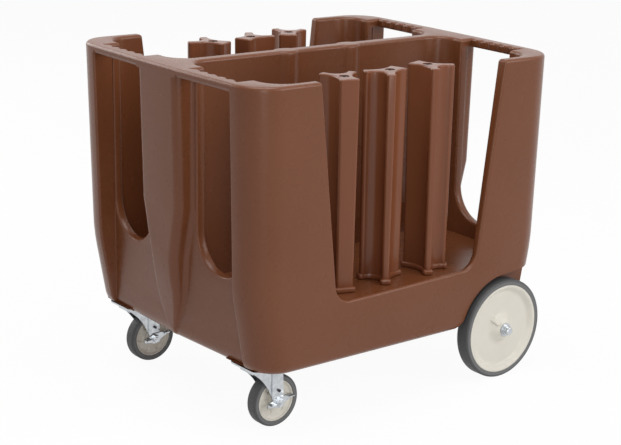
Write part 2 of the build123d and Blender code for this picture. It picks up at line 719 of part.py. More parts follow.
for side_name, side in (("left", -1), ("right", 1)):
    swivel_x = -caster_inset
    swivel_y = side * caster_track
    axle_x = swivel_x + caster_trail
    swivel = Plane(origin=(swivel_x, swivel_y, 0), z_dir=(0, 0, 1))
    axle_line = Axis((axle_x, swivel_y, caster_axle_z), (0, 1, 0))
    wheel_plane = across(axle_x, swivel_y, caster_axle_z)

    # Top plate with the fixed half of the race
    with BuildPart() as top_plate:
        with BuildSketch(swivel.offset(plate_bottom)):
            RectangleRounded(caster_plate_length, caster_plate_width, fork_leg_foot_radius)
            with GridLocations(caster_bolt_spacing_x, caster_bolt_spacing_y, 2, 2):
                Circle(caster_bolt_diameter / 2 + rod_clearance, mode=Mode.SUBTRACT)
            Circle(kingpin_diameter / 2 + axle_clearance, mode=Mode.SUBTRACT)
        extrude(amount=caster_plate_thickness)
        add(race_ring(swivel, ball_height + running_gap, plate_bottom))
    save(top_plate, f"{side_name}_caster_plate")

    # Four bolts that hold the plate to the body
    with BuildPart() as plate_bolts:
        with BuildSketch(swivel.offset(plate_bottom)):
            with GridLocations(caster_bolt_spacing_x, caster_bolt_spacing_y, 2, 2):
                RegularPolygon(caster_bolt_head_width / 2, 6, major_radius=False)
        extrude(amount=-caster_bolt_head_height)
        with BuildSketch(swivel.offset(plate_bottom)):
            with GridLocations(caster_bolt_spacing_x, caster_bolt_spacing_y, 2, 2):
                Circle(caster_bolt_diameter / 2)
        extrude(amount=bolt_depth)
    save(plate_bolts, f"{side_name}_caster_plate_bolts")

    # Kingpin, fixed in the top plate, whose head carries the fork's crown
    with BuildPart() as kingpin:
        with BuildSketch(swivel.offset(crown_bottom - axle_clearance)):
            Circle(kingpin_head_diameter / 2)
        extrude(amount=-kingpin_head_height)
        with BuildSketch(swivel.offset(crown_bottom - axle_clearance)):
            Circle(kingpin_diameter / 2)
        extrude(amount=caster_height - crown_bottom)
        fillet(kingpin.edges().sort_by(Axis.Z)[0], radius=fork_bend_radius)
    save(kingpin, f"{side_name}_caster_kingpin")

    # Ring of loose balls between the two halves of the race
    with BuildPart() as balls:
        with BuildSketch(upright(swivel_x, swivel_y, ball_height)):
            with Locations((ball_ring_radius, 0)):
                Circle(ball_diameter / 2)
                Rectangle(
                    ball_diameter / 2, ball_diameter, align=(Align.MAX, Align.CENTER), mode=Mode.SUBTRACT
                )
        revolve(axis=Axis((swivel_x + ball_ring_radius, swivel_y, ball_height), (0, 0, 1)))
        ball = balls.part
    with BuildPart() as swivel_balls:
        for step in range(ball_count):
            add(ball.rotate(Axis((swivel_x, swivel_y, 0), (0, 0, 1)), step * 360 / ball_count))
    save(swivel_balls, f"{side_name}_caster_balls")

    # Pressed fork: crown, two tapering legs with a stiffening rib, and the turning half of the race
    with BuildPart() as fork:
        with BuildSketch(swivel.offset(crown_bottom)):
            Rectangle(2 * fork_leg_top_half, 2 * leg_outer)
            Circle(fork_crown_radius)
            Circle(kingpin_diameter / 2 + axle_clearance, mode=Mode.SUBTRACT)
        extrude(amount=fork_steel)
        add(race_ring(swivel, crown_top, ball_height - running_gap))
        for leg_side in (-1, 1):
            leg_plane = Plane(
                origin=(swivel_x, swivel_y + leg_side * leg_inner, 0),
                x_dir=(-leg_side, 0, 0),
                z_dir=(0, leg_side, 0),
            )
            mirrored = -leg_side
            with BuildSketch(leg_plane):
                with BuildLine():
                    foot_left = (mirrored * (caster_trail - fork_leg_foot_radius), caster_axle_z)
                    foot_right = (mirrored * (caster_trail + fork_leg_foot_radius), caster_axle_z)
                    shoulder_left = (-mirrored * fork_leg_top_half, crown_top)
                    shoulder_right = (mirrored * fork_leg_top_half, crown_top)
                    waist = (
                        mirrored * (caster_trail / 2 - fork_leg_waist - fork_steel),
                        (crown_top + caster_axle_z) / 2 + fork_steel,
                    )
                    Line(shoulder_left, shoulder_right)
                    Line(shoulder_right, foot_right)
                    ThreePointArc(
                        foot_right,
                        (mirrored * caster_trail, caster_axle_z - fork_leg_foot_radius),
                        foot_left,
                    )
                    ThreePointArc(foot_left, waist, shoulder_left)
                make_face()
                with Locations((mirrored * caster_trail, caster_axle_z)):
                    Circle(caster_axle_diameter / 2 + axle_clearance, mode=Mode.SUBTRACT)
            extrude(amount=fork_steel)
            with BuildSketch(leg_plane.offset(fork_steel)):
                rib_height = crown_bottom - caster_axle_z - caster_bolt_head_width
                with Locations((mirrored * caster_trail / 2, crown_bottom - rib_height / 2)):
                    RectangleRounded(fork_rib_width, rib_height, fork_rib_width / 3)
            extrude(amount=fork_rib_proud)
    save(fork, f"{side_name}_caster_fork")

    # Wheel: moulded hub with pockets between its spokes, tyre and bush
    half_wheel = caster_wheel_width / 2
    with BuildPart() as caster_hub:
        with BuildSketch(wheel_plane):
            with BuildLine():
                Polyline(
                    (-leg_inner + running_gap, bush_radius),
                    (-leg_inner + running_gap, caster_boss_radius - caster_bush_wall),
                    (-half_wheel, caster_boss_radius),
                    (-caster_web_thickness, caster_boss_radius + caster_bush_wall),
                    (-caster_web_thickness, caster_hub_radius - caster_rim_thickness),
                    (-half_wheel + caster_bush_wall, caster_hub_radius - caster_rim_thickness / 2),
                    (-half_wheel + caster_bush_wall, caster_hub_radius),
                    (half_wheel - caster_bush_wall, caster_hub_radius),
                    (half_wheel - caster_bush_wall, caster_hub_radius - caster_rim_thickness / 2),
                    (caster_web_thickness, caster_hub_radius - caster_rim_thickness),
                    (caster_web_thickness, caster_boss_radius + caster_bush_wall),
                    (half_wheel, caster_boss_radius),
                    (leg_inner - running_gap, caster_boss_radius - caster_bush_wall),
                    (leg_inner - running_gap, bush_radius),
                    close=True,
                )
            make_face()
        revolve(axis=axle_line)
        for pocket_side in (-1, 1):
            pocket_face = swivel_y + pocket_side * (caster_web_thickness - caster_pocket_depth)
            pocket_plane = Plane(
                origin=(axle_x, pocket_face, caster_axle_z), x_dir=(1, 0, 0), z_dir=(0, pocket_side, 0)
            )
            with BuildSketch(pocket_plane):
                with PolarLocations(caster_pocket_ring, caster_pocket_count):
                    Circle(caster_pocket_radius)
            extrude(amount=caster_pocket_depth + overrun, mode=Mode.SUBTRACT)
    save(caster_hub, f"{side_name}_caster_hub")

    with BuildPart() as caster_tyre:
        with BuildSketch(wheel_plane) as tyre_section:
            with Locations((0, caster_hub_radius)):
                Rectangle(
                    caster_wheel_width,
                    caster_wheel_radius - caster_hub_radius,
                    align=(Align.CENTER, Align.MIN),
                )
            fillet(tyre_section.vertices().group_by(Axis.Z)[-1], radius=tyre_shoulder)
        revolve(axis=axle_line)
    save(caster_tyre, f"{side_name}_caster_tyre")

    with BuildPart() as caster_bush:
        with BuildSketch(upright(axle_x, swivel_y + leg_inner - running_gap, caster_axle_z)):
            Circle(bush_radius)
            Circle(caster_axle_diameter / 2 + axle_clearance, mode=Mode.SUBTRACT)
        extrude(amount=2 * (leg_inner - running_gap))
    save(caster_bush, f"{side_name}_caster_bush")

    # Axle bolt, its nut, the side brake lever between nut and fork, and the lever's stop rivet
    with BuildPart() as axle_bolt:
        with BuildSketch(upright(axle_x, swivel_y + leg_outer, caster_axle_z)):
            RegularPolygon(caster_nut_width / 2, 6, major_radius=False)
        extrude(amount=-caster_nut_height)
        with BuildSketch(upright(axle_x, swivel_y + leg_outer, caster_axle_z)):
            Circle(caster_axle_diameter / 2)
        extrude(amount=leg_outer + nut_face + caster_nut_height + fork_bend_radius)
    save(axle_bolt, f"{side_name}_caster_axle_bolt")

    with BuildPart() as axle_nut:
        with BuildSketch(upright(axle_x, swivel_y - nut_face, caster_axle_z)):
            RegularPolygon(caster_nut_width / 2, 6, major_radius=False)
            Circle(caster_axle_diameter / 2 + axle_clearance, mode=Mode.SUBTRACT)
        extrude(amount=caster_nut_height)
    save(axle_nut, f"{side_name}_caster_axle_nut")

    with BuildPart() as brake_lever:
        lever_plane = upright(axle_x, swivel_y - lever_face, caster_axle_z)
        with BuildSketch(lever_plane):
            Circle(brake_eye_radius)
            with BuildLine():
                Polyline(
                    (-brake_arm_length, -brake_arm_width / 2),
                    (0, -brake_eye_half_width),
                    (brake_arm_length, brake_arm_rise - brake_tip_half_width),
                    (brake_arm_length, brake_arm_rise + brake_tip_half_width),
                    (0, brake_eye_half_width),
                    (-brake_arm_length, brake_steel),
                    close=True,
                )
            make_face()
            Circle(caster_axle_diameter / 2 + axle_clearance, mode=Mode.SUBTRACT)
        extrude(amount=brake_steel)
        with BuildSketch(lever_plane):
            with Locations(
                (-brake_arm_length + brake_arm_width / 2, brake_steel),
                (brake_arm_length - brake_arm_width / 2, brake_arm_rise + brake_tip_half_width),
            ):
                Rectangle(brake_arm_width, brake_steel)
        extrude(amount=brake_tab_length + brake_steel)
    save(brake_lever, f"{side_name}_caster_brake_lever")

    with BuildPart() as brake_rivet:
        rivet_plane = upright(axle_x, swivel_y - leg_outer, caster_axle_z + brake_rivet_rise)
        with BuildSketch(rivet_plane):
            Circle(brake_rivet_diameter / 2)
        extrude(amount=brake_rivet_height)
        fillet(brake_rivet.faces().sort_by(Axis.Y)[0].edges(), radius=brake_steel / 2)
    save(brake_rivet, f"{side_name}_caster_brake_rivet")


# ---------------------------------------------------------------- rear wheels and axle
wheel_middle = rear_wheel_face - rear_tyre_width / 2
boss_end = rear_wheel_face + rear_boss_proud
hub_inner_end = rear_wheel_face - rear_tyre_width - rear_hub_proud
washer_face = boss_end + running_gap
cap_face = washer_face + axle_washer_thickness
axle_half = cap_face + axle_cap_height + axle_end_proud
bearing_radius = rear_axle_diameter / 2 + axle_clearance
bracket_half = bracket_width / 2

with BuildPart() as rear_axle:
    with BuildSketch(upright(rear_axle_x, axle_half, rear_axle_z)):
        Circle(rear_axle_diameter / 2)
    extrude(amount=2 * axle_half)
    chamfer(rear_axle.edges().filter_by(GeomType.CIRCLE), length=axle_washer_thickness / 2)
save(rear_axle, "rear_axle")

for side_name, side in (("left", -1), ("right", 1)):
    rear_plane = across(rear_axle_x, 0, rear_axle_z)
    rear_line = Axis((rear_axle_x, 0, rear_axle_z), (0, 1, 0))
    dish = rear_wheel_face - rear_dish_depth
    web_back = dish - rear_web_thickness
    lip_inner = rear_disc_radius - rear_lip_width
    rim_back = rear_wheel_face - rear_tyre_width + tyre_shoulder / 2

    # Dished wheel disc with its lip, boss and raised key
    with BuildPart() as rear_disc:
        with BuildSketch(rear_plane):
            with BuildLine():
                Polyline(
                    (side * hub_inner_end, bearing_radius),
                    (side * hub_inner_end, rear_boss_radius + fork_steel),
                    (side * web_back, rear_boss_base_radius),
                    (side * web_back, lip_inner),
                    (side * rim_back, lip_inner),
                    (side * rim_back, rear_disc_radius),
                    (side * rear_wheel_face, rear_disc_radius),
                    (side * rear_wheel_face, lip_inner + rear_lip_width / 3),
                    (side * dish, lip_inner - rear_lip_width),
                    (side * dish, rear_boss_base_radius),
                    (side * boss_end, rear_boss_radius),
                    (side * boss_end, bearing_radius),
                    close=True,
                )
            make_face()
        revolve(axis=rear_line)
        key_plane = Plane(
            origin=(rear_axle_x, side * dish, rear_axle_z), x_dir=(-1, 0, 1), z_dir=(0, side, 0)
        )
        with BuildSketch(key_plane):
            with Locations((rear_boss_radius + rear_key_length / 2, 0)):
                Rectangle(rear_key_length, rear_key_width)
        extrude(amount=rear_dish_depth)
    save(rear_disc, f"{side_name}_rear_wheel_disc")

    with BuildPart() as rear_tyre:
        with BuildSketch(rear_plane) as tyre_section:
            with Locations((side * wheel_middle, rear_disc_radius)):
                Rectangle(
                    rear_tyre_width, rear_wheel_radius - rear_disc_radius, align=(Align.CENTER, Align.MIN)
                )
            fillet(tyre_section.vertices().group_by(Axis.Z)[-1], radius=tyre_shoulder)
        revolve(axis=rear_line)
    save(rear_tyre, f"{side_name}_rear_tyre")

    # Washer and push-on cap outside the wheel, spacer sleeve inside it
    outward = Plane(origin=(rear_axle_x, side * washer_face, rear_axle_z), z_dir=(0, side, 0))
    with BuildPart() as axle_washer:
        with BuildSketch(outward):
            Circle(axle_washer_radius)
            Circle(bearing_radius, mode=Mode.SUBTRACT)
        extrude(amount=axle_washer_thickness)
    save(axle_washer, f"{side_name}_axle_washer")

    with BuildPart() as axle_cap:
        with BuildSketch(outward.offset(axle_washer_thickness)):
            Circle(axle_cap_radius)
            Circle(bearing_radius, mode=Mode.SUBTRACT)
        extrude(amount=axle_cap_height)
    save(axle_cap, f"{side_name}_axle_cap")

    sleeve_start = bracket_track + bracket_half
    with BuildPart() as axle_sleeve:
        sleeve_plane = Plane(
            origin=(rear_axle_x, side * sleeve_start, rear_axle_z), z_dir=(0, side, 0)
        )
        with BuildSketch(sleeve_plane):
            Circle(bearing_radius + fork_steel)
            Circle(bearing_radius, mode=Mode.SUBTRACT)
        extrude(amount=hub_inner_end - sleeve_start - running_gap)
    save(axle_sleeve, f"{side_name}_axle_sleeve")

    # Bracket: a base under the body and two cheeks that hold the axle
    base_bottom = bracket_seat - bracket_steel
    with BuildPart() as bracket:
        with BuildSketch(Plane(origin=(rear_axle_x, side * bracket_track, base_bottom), z_dir=(0, 0, 1))):
            Rectangle(bracket_length, bracket_width)
            with GridLocations(bracket_bolt_spacing, 0, 2, 1):
                Circle(bracket_bolt_diameter / 2 + rod_clearance, mode=Mode.SUBTRACT)
        extrude(amount=bracket_steel)
        for cheek_back in (bracket_half, bracket_steel - bracket_half):
            with BuildSketch(upright(rear_axle_x, side * bracket_track + cheek_back, 0)):
                with Locations((0, rear_axle_z)):
                    Circle(bracket_cheek_radius)
                with BuildLine():
                    Polyline(
                        (-bracket_length / 2 + bracket_steel, base_bottom),
                        (bracket_length / 2 - bracket_steel, base_bottom),
                        (bracket_cheek_radius, rear_axle_z),
                        (-bracket_cheek_radius, rear_axle_z),
                        close=True,
                    )
                make_face()
                with Locations((0, rear_axle_z)):
                    Circle(bearing_radius, mode=Mode.SUBTRACT)
            extrude(amount=bracket_steel)
    save(bracket, f"{side_name}_axle_bracket")

    with BuildPart() as bracket_bolts:
        bolt_seat = Plane(origin=(rear_axle_x, side * bracket_track, base_bottom), z_dir=(0, 0, 1))
        with BuildSketch(bolt_seat):
            with GridLocations(bracket_bolt_spacing, 0, 2, 1):
                RegularPolygon(caster_bolt_head_width / 2, 6, major_radius=False)
        extrude(amount=-caster_bolt_head_height)
        with BuildSketch(bolt_seat):
            with GridLocations(bracket_bolt_spacing, 0, 2, 1):
                Circle(bracket_bolt_diameter / 2)
        extrude(amount=bolt_depth)
    save(bracket_bolts, f"{side_name}_bracket_bolts")
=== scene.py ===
"""Dressed model of a moulded plate dispenser cart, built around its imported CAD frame."""

from __future__ import annotations

import logging
import math
from dataclasses import dataclass
from enum import Enum

import bmesh
import bpy
import numpy as np
from mathutils import Matrix, Vector


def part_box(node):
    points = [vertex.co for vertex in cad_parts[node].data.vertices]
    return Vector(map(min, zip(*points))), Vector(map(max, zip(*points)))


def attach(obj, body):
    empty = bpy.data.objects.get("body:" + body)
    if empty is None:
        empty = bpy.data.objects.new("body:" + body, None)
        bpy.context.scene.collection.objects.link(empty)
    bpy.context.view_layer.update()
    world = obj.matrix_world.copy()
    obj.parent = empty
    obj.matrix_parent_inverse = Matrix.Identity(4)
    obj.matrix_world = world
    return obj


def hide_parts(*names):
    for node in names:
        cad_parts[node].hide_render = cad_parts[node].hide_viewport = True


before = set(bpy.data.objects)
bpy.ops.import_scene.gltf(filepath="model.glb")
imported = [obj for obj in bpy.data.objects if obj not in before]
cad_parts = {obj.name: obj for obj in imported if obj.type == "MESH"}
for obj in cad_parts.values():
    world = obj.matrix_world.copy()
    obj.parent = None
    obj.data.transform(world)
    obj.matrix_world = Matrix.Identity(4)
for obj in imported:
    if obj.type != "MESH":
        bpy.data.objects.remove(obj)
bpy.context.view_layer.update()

log = logging.getLogger("cart")
logging.basicConfig(level=logging.INFO, format="%(name)s: %(message)s")

PHOTO_WIDTH = 621
TOWERS = range(1, 7)
SEEN_RAYS = ("Is Camera Ray", "Is Glossy Ray", "Is Transmission Ray")
MM = 0.001
JOIN_DISTANCE = 0.00002
FLAT_DISTANCE = 0.00001


class Side(Enum):
    """Long side of the cart, with the sign of its Y."""

    LEFT = -1
    RIGHT = 1

    @property
    def word(self) -> str:
        """Prefix of the side's node names."""
        return self.name.lower()


# ---------------------------------------------------------------- finishes


class Nodes:
    """Short way to write one material's node tree."""

    def __init__(self, name: str) -> None:
        """Start an empty material with a Principled shader and an output.

        Args:
            name: name of the new material.
        """
        self.material = bpy.data.materials.new(name)
        self.material.use_nodes = True
        self.tree = self.material.node_tree
        self.shader = self.tree.nodes["Principled BSDF"]
        self.place = self.add("ShaderNodeTexCoord").outputs["Object"]

    def add(self, kind: str, **values: object) -> bpy.types.Node:
        """Add one node and set its sockets or properties.

        Args:
            kind: Blender's name of the node type.
            values: socket names (spaces as underscores) or node properties.

        Returns:
            The new node.
        """
        node = self.tree.nodes.new(kind)
        for key, value in values.items():
            socket = node.inputs.get(key.replace("_", " "))
            if socket is None:
                setattr(node, key, value)
            elif isinstance(value, bpy.types.NodeSocket):
                self.tree.links.new(value, socket)
            else:
                socket.default_value = value
        return node

    def maths(self, operation: str, *terms: object) -> bpy.types.NodeSocket:
        """Add a Math node.

        Args:
            operation: Blender's name of the operation.
            terms: up to three numbers or sockets.

        Returns:
            The result's socket.
        """
        node = self.tree.nodes.new("ShaderNodeMath")
        node.operation = operation
        for socket, term in zip(node.inputs, terms):
            if isinstance(term, bpy.types.NodeSocket):
                self.tree.links.new(term, socket)
            else:
                socket.default_value = term
        return node.outputs[0]

    def noise(self, scale: float, detail: float = 2.0) -> bpy.types.NodeSocket:
        """Noise value on the piece's own coordinates, about 0.5 on average."""
        return self.add("ShaderNodeTexNoise", Vector=self.place, Scale=scale, Detail=detail).outputs["Fac"]

    def blend(self, share: bpy.types.NodeSocket, low: tuple, high: tuple) -> bpy.types.NodeSocket:
        """Mix two colours.

        Args:
            share: 0 gives the first colour and 1 the second.
            low: linear RGB of the first colour.
            high: linear RGB of the second colour.

        Returns:
            The mixed colour's socket.
        """
        node = self.tree.nodes.new("ShaderNodeMix")
        node.data_type = "RGBA"
        self.tree.links.new(share, node.inputs["Factor"])
        node.inputs["A"].default_value = (*low, 1.0)
        node.inputs["B"].default_value = (*high, 1.0)
        return node.outputs["Result"]

    def spread(self, value: bpy.types.NodeSocket, low: float, high: float) -> bpy.types.NodeSocket:
        """Stretch a noise value's usual span, 0.3 to 0.7, over another span.

        Args:
            value: socket with the noise value.
            low: result at 0.3.
            high: result at 0.7.

        Returns:
            The stretched value's socket.
        """
        node = self.add("ShaderNodeMapRange", Value=value)
        node.inputs["From Min"].default_value = 0.3
        node.inputs["From Max"].default_value = 0.7
        node.inputs["To Min"].default_value = low
        node.inputs["To Max"].default_value = high
        return node.outputs["Result"]

    def dress(self, **sockets: object) -> None:
        """Set or link the shader's sockets, named with spaces as underscores."""
        for key, value in sockets.items():
            socket = self.shader.inputs[key.replace("_", " ")]
            if isinstance(value, bpy.types.NodeSocket):
                self.tree.links.new(value, socket)
            else:
                socket.default_value = value

    def bump(self, height: bpy.types.NodeSocket, depth: float, strength: float = 1.0) -> None:
        """Raise the surface's normal by a height.

        Args:
            height: socket with the height, 0 to 1.
            depth: metres that a height of 1 stands for.
            strength: share of the effect.
        """
        node = self.add("ShaderNodeBump", Height=height, Distance=depth, Strength=strength)
        self.tree.links.new(node.outputs["Normal"], self.shader.inputs["Normal"])


@dataclass(frozen=True)
class MouldedPlastic:
    """Brown polyethylene: fine orange-peel grain, faint cloudiness and a satin gloss."""

    name: str = "brown_moulding"
    colour: tuple = (0.146, 0.047, 0.018)
    cloud: tuple = (0.158, 0.052, 0.021)
    roughness_low: float = 0.26
    roughness_high: float = 0.29
    mirror_share: float = 0.28
    grain_scale: float = 620.0
    grain_depth: float = 0.00016

    def make(self) -> bpy.types.Material:
        """Build the material.

        Returns:
            The finished material.
        """
        n = Nodes(self.name)
        cloud = n.spread(n.noise(5.0, 3.0), 0.0, 1.0)
        grain = n.noise(self.grain_scale, 1.5)
        dimple = n.noise(self.grain_scale / 4, 1.0)
        height = n.maths("ADD", grain, n.maths("MULTIPLY", dimple, 0.7))
        n.bump(height, self.grain_depth)
        n.dress(
            Base_Color=n.blend(cloud, self.colour, self.cloud),
            Roughness=n.spread(n.noise(14.0, 3.0), self.roughness_low, self.roughness_high),
            Specular_IOR_Level=self.mirror_share,
            IOR=1.52,
        )
        return n.material


@dataclass(frozen=True)
class GreyRubber:
    """Non-marking grey tyre: darker tread, paler side, faint scuffs."""

    name: str
    centre: tuple
    tread_radius: float
    tread: tuple = (0.055, 0.056, 0.058)
    side: tuple = (0.130, 0.131, 0.132)
    side_blend: float = 2 * MM
    tread_blend: float = 1 * MM
    scuff_scale: float = 180.0
    scuff_depth: float = 0.0003
    roughness_low: float = 0.5
    roughness_high: float = 0.72

    def make(self) -> bpy.types.Material:
        """Build the material, whose tread begins at a radius from the wheel's axle.

        Returns:
            The finished material.
        """
        n = Nodes(self.name)
        axes = n.add("ShaderNodeSeparateXYZ", Vector=n.place).outputs
        across = n.maths("SUBTRACT", axes["X"], self.centre[0])
        up = n.maths("SUBTRACT", axes["Z"], self.centre[2])
        radius = n.maths("SQRT", n.maths("ADD", n.maths("POWER", across, 2.0), n.maths("POWER", up, 2.0)))
        on_tread = n.add("ShaderNodeMapRange", Value=radius)
        on_tread.inputs["From Min"].default_value = self.tread_radius - self.side_blend
        on_tread.inputs["From Max"].default_value = self.tread_radius + self.tread_blend
        scuff = n.noise(self.scuff_scale, 4.0)
        n.bump(scuff, self.scuff_depth)
        n.dress(
            Base_Color=n.blend(on_tread.outputs["Result"], self.side, self.tread),
            Roughness=n.spread(scuff, self.roughness_low, self.roughness_high),
        )
        return n.material


@dataclass(frozen=True)
class CreamPlastic:
    """Cream polyolefin of the wheel centres, slightly cloudy, satin."""

    name: str = "cream_wheel_plastic"
    colour: tuple = (0.665, 0.630, 0.555)
    cloud: tuple = (0.690, 0.655, 0.582)

    def make(self) -> bpy.types.Material:
        """Build the material.

        Returns:
            The finished material.
        """
        n = Nodes(self.name)
        n.bump(n.noise(420.0, 2.0), 0.00012)
        n.dress(
            Base_Color=n.blend(n.spread(n.noise(22.0, 3.0), 0.0, 1.0), self.colour, self.cloud),
            Roughness=n.spread(n.noise(60.0, 2.0), 0.34, 0.46),
            IOR=1.5,
        )
        return n.material


@dataclass(frozen=True)
class PlatedSteel:
    """Zinc-plated steel: pale metal with fine streaks and a slightly uneven plate."""

    name: str
    colour: tuple = (0.620, 0.640, 0.660)
    shade: tuple = (0.470, 0.490, 0.515)
    roughness_low: float = 0.22
    roughness_high: float = 0.38

    def make(self) -> bpy.types.Material:
        """Build the material.

        Returns:
            The finished material.
        """
        n = Nodes(self.name)
        streak = n.noise(95.0, 4.0)
        n.bump(n.noise(700.0, 2.0), 0.00006)
        n.dress(
            Base_Color=n.blend(n.spread(streak, 0.0, 1.0), self.colour, self.shade),
            Metallic=1.0,
            Roughness=n.spread(streak, self.roughness_low, self.roughness_high),
        )
        return n.material


# ---------------------------------------------------------------- meshes


def rounded(points: list[tuple[float, float]], radii: list[float], steps: int = 6) -> np.ndarray:
    """Round the corners of a closed profile.

    Each corner is replaced by points on a quadratic curve that starts and ends at the corner's
    radius from it along both edges, and is pulled to the corner itself.

    Args:
        points: corners of the profile, in order.
        radii: how far from each corner its rounding starts; 0 keeps it sharp.
        steps: number of spans in each rounding.

    Returns:
        The rounded profile, one row for each point.
    """
    corners = np.asarray(points, float)
    share = np.linspace(0.0, 1.0, steps + 1)[:, None]
    pieces = []
    for index, radius in enumerate(radii):
        corner = corners[index]
        if radius == 0:
            pieces.append(corner[None, :])
            continue
        before = corners[index - 1] - corner
        after = corners[(index + 1) % len(corners)] - corner
        start = corner + before / np.linalg.norm(before) * radius
        stop = corner + after / np.linalg.norm(after) * radius
        pieces.append((1 - share) ** 2 * start + 2 * share * (1 - share) * corner + share**2 * stop)
    return np.concatenate(pieces)


def grid_piece(name: str, points: np.ndarray, wrap_first: bool, wrap_second: bool) -> bpy.types.Object:
    """Make a smooth mesh from a grid of points, with its faces pointing outwards.

    Args:
        name: name of the new piece.
        points: array of shape (rows, columns, 3), in metres.
        wrap_first: join the last row to the first.
        wrap_second: join the last column to the first.

    Returns:
        The new object, linked to the scene.
    """
    rows, columns = points.shape[:2]
    index = np.arange(rows * columns).reshape(rows, columns)
    if wrap_first:
        index = np.concatenate([index, index[:1]], axis=0)
    if wrap_second:
        index = np.concatenate([index, index[:, :1]], axis=1)
    quads = np.stack([index[:-1, :-1], index[1:, :-1], index[1:, 1:], index[:-1, 1:]], axis=-1).reshape(-1, 4)
    flat = points.reshape(-1, 3)
    centre = flat.mean(axis=0)
    a, b, c, d = (flat[quads[:, k]] - centre for k in range(4))
    volume = np.einsum("ij,ij->i", a, np.cross(b, c)) + np.einsum("ij,ij->i", a, np.cross(c, d))
    if volume.sum() < 0:
        quads = quads[:, ::-1]
    mesh = bpy.data.meshes.new(name)
    mesh.from_pydata(flat.tolist(), [], quads.tolist())
    mesh.polygons.foreach_set("use_smooth", np.ones(len(mesh.polygons), bool))
    mesh.update()
    piece = bpy.data.objects.new(name, mesh)
    bpy.context.scene.collection.objects.link(piece)
    return piece


def turned(profile: np.ndarray, centre: Vector, segments: int) -> np.ndarray:
    """Turn a profile round an axle that runs along Y.

    A profile point (y, r) at angle t goes to (centre x + r cos t, y, centre z + r sin t).

    Args:
        profile: rows of (place along Y, radius), in metres.
        centre: a point on the axle.
        segments: number of steps round the axle.

    Returns:
        Array of shape (points, segments, 3).
    """
    turn = np.linspace(0.0, 2 * np.pi, segments, endpoint=False)[None, :]
    radius = profile[:, 1][:, None]
    along = np.repeat(profile[:, 0][:, None], segments, axis=1)
    return np.stack([centre[0] + radius * np.cos(turn), along, centre[2] + radius * np.sin(turn)], axis=-1)


def merged_copy(node: str, name: str, sharp_degrees: float) -> bpy.types.Object:
    """Copy a CAD node with its loose triangles joined, shaded smooth up to an angle.

    Args:
        node: name of the CAD node.
        name: name of the new piece.
        sharp_degrees: edges that turn more than this stay crisp.

    Returns:
        The new object, linked to the scene.
    """
    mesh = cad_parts[node].data.copy()
    work = bmesh.new()
    work.from_mesh(mesh)
    bmesh.ops.remove_doubles(work, verts=work.verts, dist=JOIN_DISTANCE)
    bmesh.ops.dissolve_degenerate(work, dist=FLAT_DISTANCE, edges=work.edges)
    work.to_mesh(mesh)
    work.free()
    mesh.name = name
    if mesh.has_custom_normals:
        mesh.attributes.remove(mesh.attributes["custom_normal"])
    mesh.polygons.foreach_set("use_smooth", np.ones(len(mesh.polygons), bool))
    mesh.set_sharp_from_angle(angle=math.radians(sharp_degrees))
    mesh.materials.clear()
    piece = bpy.data.objects.new(name, mesh)
    bpy.context.scene.collection.objects.link(piece)
    return piece


def wear(piece: bpy.types.Object, finish: bpy.types.Material) -> bpy.types.Object:
    """Give a piece its one finish."""
    piece.data.materials.clear()
    piece.data.materials.append(finish)
    return piece


# ---------------------------------------------------------------- sub-assemblies


@dataclass
class BodyMoulding:
    """One-piece body of the cart."""

    finish: bpy.types.Material
    crisp_degrees: float = 38.0
    foot_half_length: float = 410 * MM
    foot_half_width: float = 344 * MM
    corner_start: float = 283 * MM
    seat_top: float = 170.1 * MM
    seat_rounding: float = 10 * MM
    seat_reach: float = 8 * MM

    def build(self) -> None:
        """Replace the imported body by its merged, smoothly shaded copy."""
        piece = wear(merged_copy("cart_body", "body_moulding", self.crisp_degrees), self.finish)
        self.tuck_seats(piece)
        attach(piece, "cart")
        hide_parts("cart_body")
        log.info("%s: %d faces", piece.name, len(piece.data.polygons))

    def tuck_seats(self, piece: bpy.types.Object) -> None:
        """Draw the casters' flat seats in under the rounded bottom edge of the caster end.

        A point below the seats' top and beyond the foot's outline is moved back onto it. The
        outline is a rectangle with round corners, wider by a quarter ellipse as the height rises:
        its growth is the seat's rounding times sqrt(1 - (1 - h)^2), where h goes from 0 at the
        seats' underside to 1 at their top.

        Args:
            piece: the merged body.
        """
        mesh = piece.data
        flat = np.empty(len(mesh.vertices) * 3)
        mesh.vertices.foreach_get("co", flat)
        points = flat.reshape(-1, 3)
        plate_low, plate_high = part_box("left_caster_plate")
        underside = plate_high.z
        rise = np.clip((points[:, 2] - underside) / (self.seat_top - underside), 0.0, 1.0)
        growth = self.seat_rounding * np.sqrt(1 - (1 - rise) ** 2)
        radius = self.foot_half_width + growth - self.corner_start
        corner_x = self.foot_half_length + growth - radius
        along = -points[:, 0] - corner_x
        across = np.maximum(np.abs(points[:, 1]) - self.corner_start, 0.0)
        reach = np.hypot(along, across)
        near_seat = (points[:, 0] < plate_low.x + self.seat_reach) & (points[:, 2] < self.seat_top)
        outside = near_seat & (along > 0) & (reach > radius)
        share = np.where(outside, radius / np.maximum(reach, MM), 1.0)
        points[:, 0] = np.where(outside, -corner_x - along * share, points[:, 0])
        tucked_y = np.sign(points[:, 1]) * (self.corner_start + across * share)
        points[:, 1] = np.where(outside & (across > 0), tucked_y, points[:, 1])
        mesh.vertices.foreach_set("co", points.reshape(-1))
        mesh.update()
        log.info("%s: %d seat points tucked in", piece.name, int(outside.sum()))


